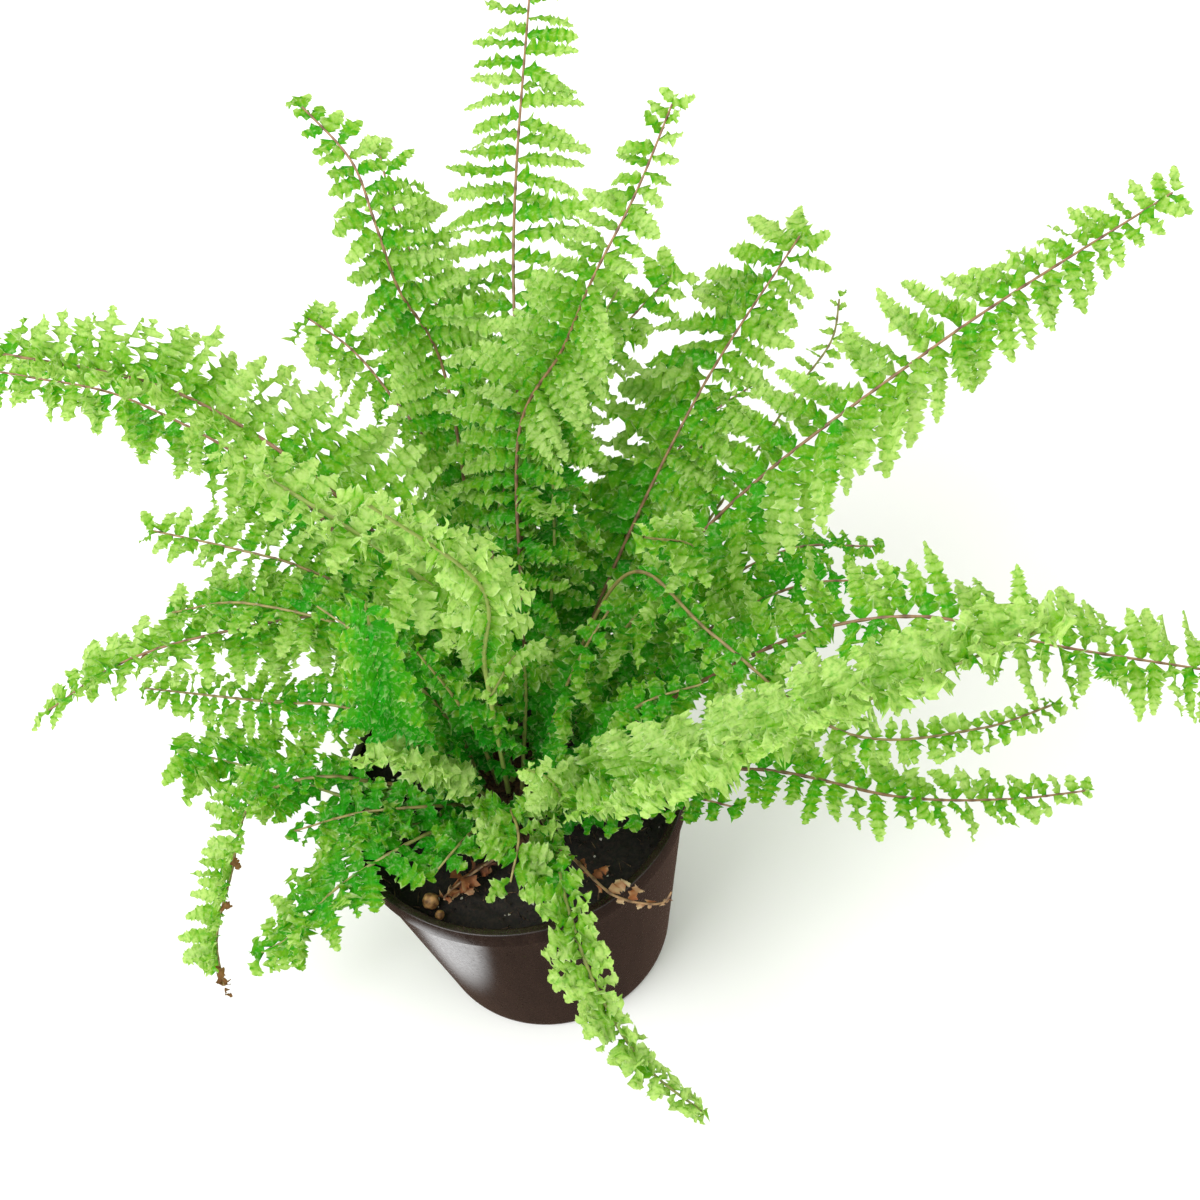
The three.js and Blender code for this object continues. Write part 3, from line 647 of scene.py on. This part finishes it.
    "frond_back_low": ((0, 16), (16, 62, 118), (24, 112, 124), (30, 158, 98), 0.2, 17, {}),
    "frond_back_left_low": ((-4.5, 16), (-28, 62, 112), (-52, 108, 118), (-74, 150, 96), 0.2, 17, {}),
    "frond_back_right_low": ((4.5, 16), (46, 60, 112), (78, 98, 120), (106, 130, 104), 0.2, 17, {}),
}
# Tone runs from a deep green leaflet, 0, to a pale one, 1: low for old leaflets and, as painted
# shade, for fronds that lie deep in the plant; high for young ones. Lift raises the leaflets of the
# left and right rows above the level of the stalk and lean sweeps them forward, in degrees. Turn is
# the share of the way that faces turn to the sky, cut the depth of the lobes, wide and ruffle shares
# of the usual width and waviness, green the greenness of the stalk, and pitch the spacing in mm.
# Sides are shares of the usual leaflet length on the left and right, tip that of the last leaflets,
# and bare the share of the bare stalk that has no small leaflets either. Dead counts the pairs at the
# tip that have died, withered places the shrivelled ones, and stalk is a share of its usual thickness.
HABIT = dict(tone=0.74, lift=(14, 14), lean=(0, 0), turn=0.9, cut=0.45, wide=1.3, ruffle=1.0, green=0.0,
    pitch=6.2, sides=(1, 1), tip=0.25, bare=0.45, dead=0, withered=(), stalk=1)
MM = 0.001
ROOT_DEPTH = 0.0015
LINE_POINTS = 240
PITCH_AT_TIP = 0.78
DROOP = 0.06
# Leaflets near a frond's base lose up to this much tone: partly their age, partly painted shade of the
# plant's dense middle.
AGE_AND_SHADE_AT_BASE = 0.5
LEAN_SPREAD = 0.13
LIFT_SPREAD = 0.16
TURN_SPREAD = 0.24
WIDTH_LEAST = 0.0013
WIDTH_SHARE = 0.095
LOBE_PITCH = 0.0026
LOBE_SHRINK = 1.25
LOBE_FLARE = 0.55
LOBE_ROUNDNESS = 0.6
LOBE_SPREAD = 0.22
TOOTH_SPREAD = 0.16
TOOTH_SHIFT = 0.0003
CRISPNESS = 0.3
LOBE_STATIONS = np.array([0, 0.2, 0.4, 0.6, 0.8])
TEETH = np.array([0, 0.14, -0.12, 0.14, -0.1])
ACROSS = np.array([-1, -0.55, 0, 0.55, 1])
BLADE_START = 0.38
BLADE_OPENING = 2.6
TAPER_SHARE = 0.5
STALK_RADIUS = 0.00072
STALK_TIP_RADIUS = 0.0003
STALK_SIDES = 6
STALK_RINGS = 120
JOINT_LENGTH = 0.0009
NODE_SWELL = 0.35

def unit(vectors):
    return vectors / np.linalg.norm(vectors, axis=-1, keepdims=True)

def dot(a, b):
    return np.sum(a * b, axis=-1, keepdims=True)

def stalk_line(root, path, points=LINE_POINTS):
    """Evenly spaced points of a centripetal Catmull-Rom curve through the root and the path, and its
    length. Between two points it is the cubic whose end slopes come from the points on either side,
    each distance weighed by its square root."""
    x, y = root[0] * MM, root[1] * MM
    foot = (x, y, float(crown_height(x, y)) - ROOT_DEPTH)
    through = np.vstack([foot, np.array(path) * MM])
    through = np.vstack([2 * through[0] - through[1], through, 2 * through[-1] - through[-2]])
    share = np.linspace(0, 1, points)[:, None]
    stretches = []
    for p0, p1, p2, p3 in zip(through, through[1:], through[2:], through[3:]):
        d0, d1, d2 = (math.sqrt(np.linalg.norm(b - a)) for a, b in ((p0, p1), (p1, p2), (p2, p3)))
        leaving = ((p1 - p0) / d0 - (p2 - p0) / (d0 + d1) + (p2 - p1) / d1) * d1
        arriving = ((p2 - p1) / d1 - (p3 - p1) / (d1 + d2) + (p3 - p2) / d2) * d1
        square = 3 * (p2 - p1) - 2 * leaving - arriving
        cube = 2 * (p1 - p2) + leaving + arriving
        stretches.append(p1 + leaving * share + square * share ** 2 + cube * share ** 3)
    line = np.vstack(stretches)
    run = np.concatenate([[0], np.cumsum(np.linalg.norm(np.diff(line, axis=0), axis=1))])
    even = np.linspace(0, run[-1], points)
    return np.column_stack([np.interp(even, run, line[:, i]) for i in range(3)]), run[-1]

def along_line(line, share):
    """Place, forward, rightward and upward directions at shares of a line's length. Rightward is level
    across the chord, so a frond's blade stays level across however its stalk bends."""
    steps = np.linspace(0, 1, len(line))
    pick = lambda values: np.column_stack([np.interp(share, steps, values[:, i]) for i in range(3)])
    forward = unit(pick(np.gradient(line, axis=0)))
    level = unit(np.cross(line[-1] - line[0], [0, 0, 1]))
    right = unit(level - forward * dot(forward, level))
    return pick(line), forward, right, np.cross(right, forward)

def blade_width(place, tip):
    """Width of the blade against its greatest: soon full, then an even narrowing over the outer half
    to short leaflets at the tip."""
    taper = np.clip((1 - place) / TAPER_SHARE, 0, 1)
    return np.minimum(BLADE_START + BLADE_OPENING * place, 1) * (1 - (1 - tip) * (1 - taper) ** 1.2)

def leaflet_places(length, bare, pitch):
    """Shares of the blade at which leaflets sit on one side, a little nearer together at the tip."""
    blade = length * (1 - bare)
    places, place = [], 0.0
    while place < blade:
        places.append(place / blade)
        place += pitch * (1 - (1 - PITCH_AT_TIP) * (place / blade) ** 2)
    return np.array(places)

def leaflet_outline(u, v, blunt):
    """Half width against the greatest, lobes apart: it opens at once from a narrow base, narrows evenly
    and ends in a point or blunt. The half towards the frond's tip starts with a raised ear; the other
    half is narrow near the stalk."""
    body = (1 - 0.25 * u) * (1.001 - u ** blunt) ** 0.5 * np.clip(0.15 + u / 0.05, 0, 1)
    ear = 1 + 0.25 * np.exp(-((u - 0.09) / 0.08) ** 2)
    narrow = 0.6 + 0.4 * smoothstep(u / 0.5)
    return body * np.where(v > 0, ear, narrow)

def leaflet_grid(leaf, lobes, rng):
    """Points (leaflets, stations, across, 3) of leaflets with the same number of lobes, in metres, and
    how pale their margin and what tone their flesh has at each. The pale margin gathers at the lobe
    tips, partly as a painted highlight; the tone is paler towards the outer end and the lobe tips,
    darker near the stalk, and darkened in the notches between lobes as painted shade. The midrib is
    an arc that curls down.
    The cross section turns about it, is folded, and rises and falls in waves; each lobe has a size,
    a tint and a tilt of its own and stands like a roof tile, its outer side over the next one."""
    count = len(leaf["length"])
    step = np.append((np.arange(lobes)[:, None] + LOBE_STATIONS).reshape(-1), lobes)[None, :, None]
    u = 1 - (1 - step / lobes) ** LOBE_SHRINK
    v = ACROSS[None, None, :]
    width = np.abs(v)
    column = lambda name: leaf[name][:, None, None]
    length, curl, cut = column("length"), column("curl"), column("cut")
    lobe = (4 * (step % 1.0) * (1 - step % 1.0)) ** LOBE_ROUNDNESS
    owner = np.minimum(step[0, :, 0].astype(int), lobes - 1)
    own = rng.normal(0, 1, (3, count, lobes, 2))[:, :, owner][..., (ACROSS > 0).astype(int)]
    reach = np.clip(1 + LOBE_SPREAD * own[0], 0.5, 1.4)
    teeth = rng.uniform(-1, 1, (count, u.shape[1], len(ACROSS))) * width
    half = column("width") * leaflet_outline(u, v, column("blunt"))
    saw = np.append(np.tile(TEETH, lobes), 0)[None, :, None] * width
    half = half * (1 - cut + cut * lobe * reach) * (1 + saw + TOOTH_SPREAD * teeth)
    slant = 0.35 * half * width * (1 - u)
    flare = LOBE_FLARE * (step % 1.0 - 0.5) * lobe * width * cut * length / lobes
    away = length * u + slant + flare + TOOTH_SHIFT * np.roll(teeth, 1, axis=1)
    phase = column("phase") + np.where(v > 0, 0.0, 1.7)
    wave = column("ruffle") * (np.sin(2.7 * step + phase) + 1.1 * own[1] * lobe)
    tile = column("tile") * (step % 1.0 - 0.5) * lobe
    crisp = CRISPNESS * np.roll(teeth, 2, axis=1) * width ** 2
    rise = half * width * (column("fold") + tile + crisp + wave * width ** 0.3)
    bend = curl * away / length
    out = np.sin(bend) / curl * length
    down = (1 - np.cos(bend)) / curl * length
    angle = column("twist") * (u - 0.15) + 0.25 * column("twist") * np.sin(6 * u + phase)
    outward, tipward, face = (leaf[name][:, None, None, :] for name in ("outward", "tipward", "face"))
    normal = face * np.cos(bend)[..., None] + outward * np.sin(bend)[..., None]
    across = tipward * np.cos(angle)[..., None] + normal * np.sin(angle)[..., None]
    normal = normal * np.cos(angle)[..., None] - tipward * np.sin(angle)[..., None]
    points = leaf["centre"][:, None, None, :] + outward * out[..., None] - face * down[..., None]
    points = points + across * (v * half)[..., None] + normal * rise[..., None]
    points = points + tipward * (column("sickle") * length * u ** 2)[..., None]
    points[..., 2] -= column("droop") * length * u ** 2
    # The pale margin is strongest at the lobe tips: partly the leaflet's own paler edge, partly a painted
    # highlight where the lobes curl up.
    edge = width * (0.55 + 0.45 * lobe) + 0.08 * own[2] * width
    # Tone is paler towards the outer end and at the lobe tips, partly painted highlight, darker near the
    # stalk, and darker in the notches between lobes, painted shade.
    tone = column("tone") + 0.22 * u ** 2 + 0.16 * width ** 2 * lobe + 0.07 * own[2] * lobe
    tone = tone - 0.42 * (1 - lobe) * (0.35 + 0.65 * width) - 0.3 * (1 - u) ** 2 + 0.04
    return points, np.clip(edge, 0, 1), tone

def leaflets_of(line, length, bare, half, habit, rng):
    """Everything about a frond's leaflets as arrays, one row a leaflet, both sides together: lengths in
    metres, angles in radians, the rest shares. No two leaflets draw the same."""
    rows = []
    pitch = habit["pitch"] * MM
    for sign, lift, lean, side in zip((-1, 1), habit["lift"], habit["lean"], habit["sides"]):
        place = leaflet_places(length, bare, pitch)
        place = place + (0.0 if sign < 0 else 0.5 * pitch / (length * (1 - bare)))
        place = place[place < 0.997]
        count = len(place)
        even = lambda low, high: rng.uniform(low, high, count)
        bell = lambda mean, spread: rng.normal(mean, spread, count)
        centre, forward, right, up = along_line(line, bare + (1 - bare) * place)
        lean = math.radians(lean) + 0.9 * smoothstep((place[:, None] - 0.9) / 0.1)
        lean = lean + rng.normal(0, LEAN_SPREAD, (count, 1))
        lift = math.radians(lift) + habit["ruffle"] * rng.normal(0, LIFT_SPREAD, (count, 1))
        aside = sign * right * np.cos(lean) * np.cos(lift)
        outward = unit(aside + forward * np.sin(lean) + up * np.sin(lift))
        level = unit(forward - outward * dot(forward, outward))
        above = np.cross(outward, level)
        above = np.where(dot(above, up) < 0, -above, above)
        turn = habit["turn"] * np.arctan2(level[:, 2:3], np.maximum(above[:, 2:3], 0.05))
        turn = np.where(turn < 0, 0.4 * turn, turn)
        turn = turn + habit["ruffle"] * rng.normal(0, TURN_SPREAD, (count, 1))
        long = side * half * MM * blade_width(place, habit["tip"]) * even(0.88, 1.08)
        dying = (place > 1 - habit["dead"] * pitch / (length * (1 - bare))).astype(float)
        for spot in habit["withered"]:
            near = np.abs(place - spot) < 0.5 * pitch / (length * (1 - bare))
            dying = np.where(near & (sign < 0), 1.0, dying)
        long = long * (1 - 0.5 * dying)
        rows.append(dict(
            centre=centre,
            outward=outward,
            tipward=level * np.cos(turn) - above * np.sin(turn),
            face=above * np.cos(turn) + level * np.sin(turn),
            length=long,
            width=habit["wide"] * (WIDTH_LEAST + WIDTH_SHARE * long) * even(0.9, 1.12),
            cut=np.clip(habit["cut"] * (1.2 - 0.7 * place) + bell(0, 0.04), 0.08, 0.75),
            blunt=even(2.2, 6),
            ruffle=habit["ruffle"] * even(0.15, 0.42),
            tile=even(0.5, 1.0),
            fold=bell(-0.05, 0.22),
            curl=np.where(dying > 0, even(1.5, 4), bell(0.25, 0.3)) + 0.011,
            twist=habit["ruffle"] * bell(0, 0.45),
            sickle=bell(-0.03, 0.08),
            droop=DROOP * even(0.0, 1.8),
            phase=even(0, 6.28),
            # Darker towards the frond's base: partly age, partly painted shade.
            tone=habit["tone"] - AGE_AND_SHADE_AT_BASE * (1 - smoothstep(place / 0.6)) + bell(0, 0.1),
            dry=dying,
        ))
    return {name: np.concatenate([row[name] for row in rows]) for name in rows[0]}

def grid_faces(count, rows, columns, flip):
    """Quads of count grids that follow one another, each of rows by columns points, turned round
    where flip says so."""
    i = np.arange(rows - 1)[:, None] * columns + np.arange(columns - 1)[None, :]
    quad = np.stack([i, i + 1, i + columns + 1, i + columns], axis=-1).reshape(-1, 4)
    every = quad[None] + np.arange(count)[:, None, None] * rows * columns
    every = np.where(flip[:, None, None], every[..., ::-1], every)
    return every.reshape(-1, 4)

def stalk_tube(line, length, bare, pitch, thick):
    """A thin tapering tube round the line, swollen a little at each pair of leaflets."""
    share = np.linspace(0, 0.992, STALK_RINGS)
    centre, _, right, up = along_line(line, share)
    places = bare + (1 - bare) * leaflet_places(length, bare, pitch)
    near = np.min(np.abs(share[:, None] - places[None, :]), axis=1) * length
    joint = np.exp(-(near / JOINT_LENGTH) ** 2)
    radius = STALK_RADIUS + (STALK_TIP_RADIUS - STALK_RADIUS) * share ** 0.8
    radius = thick * radius * (1 + NODE_SWELL * joint)
    angle = np.linspace(0, 2 * np.pi, STALK_SIDES, endpoint=False)
    ring = right[:, None] * np.cos(angle)[None, :, None] + up[:, None] * np.sin(angle)[None, :, None]
    points = centre[:, None] + ring * radius[:, None, None]
    i = np.arange(len(share) - 1)[:, None] * STALK_SIDES
    j = np.arange(STALK_SIDES)[None, :]
    k = (j + 1) % STALK_SIDES
    faces = np.stack([i + j, i + k, i + STALK_SIDES + k, i + STALK_SIDES + j], axis=-1).reshape(-1, 4)
    return points.reshape(-1, 3), faces, np.repeat(joint, STALK_SIDES)

LEAF_DEEP = "#0e9c08"
LEAF_MIDDLE = "#3ea20c"
LEAF_FRESH = "#78b01c"
LEAF_PALE = "#bedd7e"
LEAF_EDGE_AND_HIGHLIGHT = "#daecb4"
LEAF_GLOW = "#ecffb0"
PUCKER_SCALE = 750.0

def attribute(tree, name):
    return add_node(tree, "Attribute", {"attribute_name": name}, out="Fac")

def leaf_material():
    """A living fern leaflet: thin, with a waxy skin that shines softly and flesh that glows yellow
    green against the light. Its midrib is paler, and so is its margin: partly its own paler edge and
    partly a painted highlight at the lobe tips. Young leaflets are paler all over, and the tone that
    sets this also holds painted shade. The ridges of its puckers are painted paler and their hollows
    darker, a painted highlight and painted shade over the bump."""
    material, tree = new_material("fern_leaflet")
    place = object_place(tree)
    tone = attribute(tree, "tone")
    color = ramp(
        tree, tone, (0.0, LEAF_DEEP), (1.0, LEAF_PALE), (0.35, LEAF_MIDDLE), (0.6, LEAF_FRESH))
    mottle = noise(tree, place, 420.0, 3.0)
    # The pale margin is partly the leaflet's own paler edge and partly a painted highlight at the lobe
    # tips; it shows most on leaflets of pale tone.
    across = attribute(tree, "edge")
    rim = ranged(tree, across, 0.8, 1.0, 0.0, 1.0)
    young = ranged(tree, tone, 0.1, 0.8, 0.32, 0.8)
    margin = add_node(tree, "Math", {"operation": "MULTIPLY"}, _0=rim, _1=young)
    puckers = noise(tree, place, PUCKER_SCALE, 2.0)
    mottled = ranged(tree, mottle, 0.35, 0.75, 0.0, 0.14)
    rib = ranged(tree, across, 0.02, 0.12, 0.05, 0.0)
    # Painted highlight and shade: the ridges of the puckers are painted paler and their hollows darker,
    # over the same noise that bumps the surface.
    painted_ridge_highlight = ranged(tree, puckers, 0.52, 0.7, 0.0, 0.3)
    painted_hollow_shade = ranged(tree, puckers, 0.32, 0.48, 0.45, 0.0)
    for share, tint in (
            (mottled, LEAF_FRESH), (rib, LEAF_EDGE_AND_HIGHLIGHT), (margin, LEAF_EDGE_AND_HIGHLIGHT),
            (painted_ridge_highlight, LEAF_EDGE_AND_HIGHLIGHT), (painted_hollow_shade, LEAF_MIDDLE)):
        color = mix(tree, share, color, tint)
    withered = mix(tree, mottle, "#3a2214", "#a87a4a")
    color = mix(tree, attribute(tree, "dry"), color, withered)
    skin = add_node(
        tree, "BsdfPrincipled", {"Roughness": 0.5, "IOR": 1.25}, Base_Color=color,
        Normal=bumped(tree, puckers, 0.8, 0.001))
    glow = mix(tree, 1.0, color, LEAF_GLOW, "MULTIPLY")
    through = add_node(tree, "BsdfTranslucent", Color=glow)
    both = add_node(tree, "MixShader", {0: 0.4}, _1=skin, _2=through)
    add_node(tree, "OutputMaterial", Surface=both)
    return material

def stalk_material():
    """A wiry fern stalk: smooth brown bark, darker at each joint, greener on young fronds."""
    material, tree = new_material("fern_stalk")
    grain = noise(tree, object_place(tree), 900.0, 4.0)
    brown = mix(tree, grain, "#482e1d", "#7a5638")
    tan = mix(tree, grain, "#80603f", "#b8926a")
    brown = mix(tree, attribute(tree, "tone"), brown, tan)
    color = mix(tree, attribute(tree, "green"), brown, "#93a552")
    color = mix(tree, attribute(tree, "joint"), color, "#3a2017")
    shade = add_node(tree, "BsdfPrincipled", {"Roughness": 0.42}, Base_Color=color)
    add_node(tree, "OutputMaterial", Surface=shade)
    return material

fern_leaflet = leaf_material()
fern_stalk = stalk_material()

def set_attribute(piece, name, values):
    """Writes one number for each point of the piece under that name, for its material to read."""
    layer = piece.data.attributes.new(name, "FLOAT", "POINT")
    layer.data.foreach_set("value", np.asarray(values, np.float32))

def make_frond(name, row, seed, blade):
    """One mesh: the stalk's tube, then the leaflets, those with the same number of lobes together."""
    rng = np.random.default_rng(seed)
    root, *path, bare, half, own_habit = row
    habit = {**HABIT, **own_habit}
    line, length = stalk_line(root, path)
    bare = bare * habit["bare"]
    points, faces, joint = stalk_tube(line, length, bare, habit["pitch"] * MM, habit["stalk"])
    blank = np.zeros(len(points))
    outer = smoothstep(np.repeat(np.linspace(0, 1, STALK_RINGS), STALK_SIDES) / 0.8)
    blocks = [dict(
        points=points, faces=faces, edge=blank, tone=outer, dry=blank,
        joint=0.75 * joint * (1 - 0.7 * habit["green"]), green=blank + habit["green"])]
    used = len(points)
    leaves = leaflets_of(line, length, bare, half, habit, rng)
    lobes = np.clip(np.round(leaves["length"] / LOBE_PITCH), 2, 8).astype(int)
    for number in np.unique(lobes):
        leaf = {key: values[lobes == number] for key, values in leaves.items()}
        grid, edge, tone = leaflet_grid(leaf, int(number), rng)
        total, rows, columns = grid.shape[:3]
        upward = dot(np.cross(leaf["tipward"], leaf["outward"]), leaf["face"])[:, 0] > 0
        blank = np.zeros(total * rows * columns)
        blocks.append(dict(
            points=grid.reshape(-1, 3), faces=used + grid_faces(total, rows, columns, ~upward),
            edge=edge.reshape(-1), tone=tone.reshape(-1),
            dry=np.repeat(leaf["dry"], rows * columns), joint=blank, green=blank))
        used += len(blank)
    whole = {key: np.concatenate([block[key] for block in blocks]) for key in blocks[0]}
    of_stalk = np.arange(len(whole["faces"])) < len(faces)
    piece = new_piece(
        name.replace("frond", "leafy_frond"), whole["points"], whole["faces"], blade, fern_stalk,
        face_material=np.where(of_stalk, 1, 0))
    for key in ("edge", "tone", "dry", "joint", "green"):
        set_attribute(piece, key, whole[key])
    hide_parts(name)
    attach(piece, "root")

for seed, (name, row) in enumerate(FRONDS.items()):
    make_frond(name, row, seed, fern_leaflet)


# Dead fronds
# Two withered fronds that have sunk on to the rim: brittle brown stalks with a few tan leaflets left
# on them. They are built as the living ones are, with every leaflet shrunk and rolled up.
DEAD_FRONDS = {
    "dead_frond_left": ((-2, -16), (-8, -26, 90), (-16, -28, 87), (-22, -30, 85), (-27, -33, 84), 0.3, 12,
        dict(tone=0.5, pitch=3.6, ruffle=1.8, wide=1.5, tip=0.2, bare=1.6, dead=99)),
    "dead_frond_right": ((2, -16), (14, -38, 100), (24, -53, 99), (33, -57, 97), (38, -57, 96),
        (41, -55, 98), 0.5, 13,
        dict(tone=0.75, pitch=6.5, sides=(1.5, 0.4), wide=0.9, tip=0.02, bare=1.0, dead=99)),
}

def dry_leaf_material():
    """Dead leaflet: paper-dry, dull, tan where it has bleached and rust brown where it has not."""
    material, tree = new_material("dry_fern_leaflet")
    blotch = noise(tree, object_place(tree), 380.0, 4.0)
    shift = add_node(tree, "Math", {"operation": "MULTIPLY_ADD", 1: 0.9, 2: -0.45}, _0=blotch)
    share = add_node(
        tree, "Math", {"operation": "ADD"}, _0=shift, _1=attribute(tree, "tone"))
    color = ramp(tree, share, (0.0, "#4a2616"), (1.0, "#d3bb93"), (0.4, "#9c5c34"))
    skin = add_node(
        tree, "BsdfPrincipled", {"Roughness": 0.7}, Base_Color=color,
        Normal=bumped(tree, blotch, 0.5, 0.0003))
    through = add_node(tree, "BsdfTranslucent", Color=color)
    both = add_node(tree, "MixShader", {0: 0.2}, _1=skin, _2=through)
    add_node(tree, "OutputMaterial", Surface=both)
    return material

dry_leaflet = dry_leaf_material()
for seed, (name, row) in enumerate(DEAD_FRONDS.items()):
    make_frond(name, row, 100 + seed, dry_leaflet)
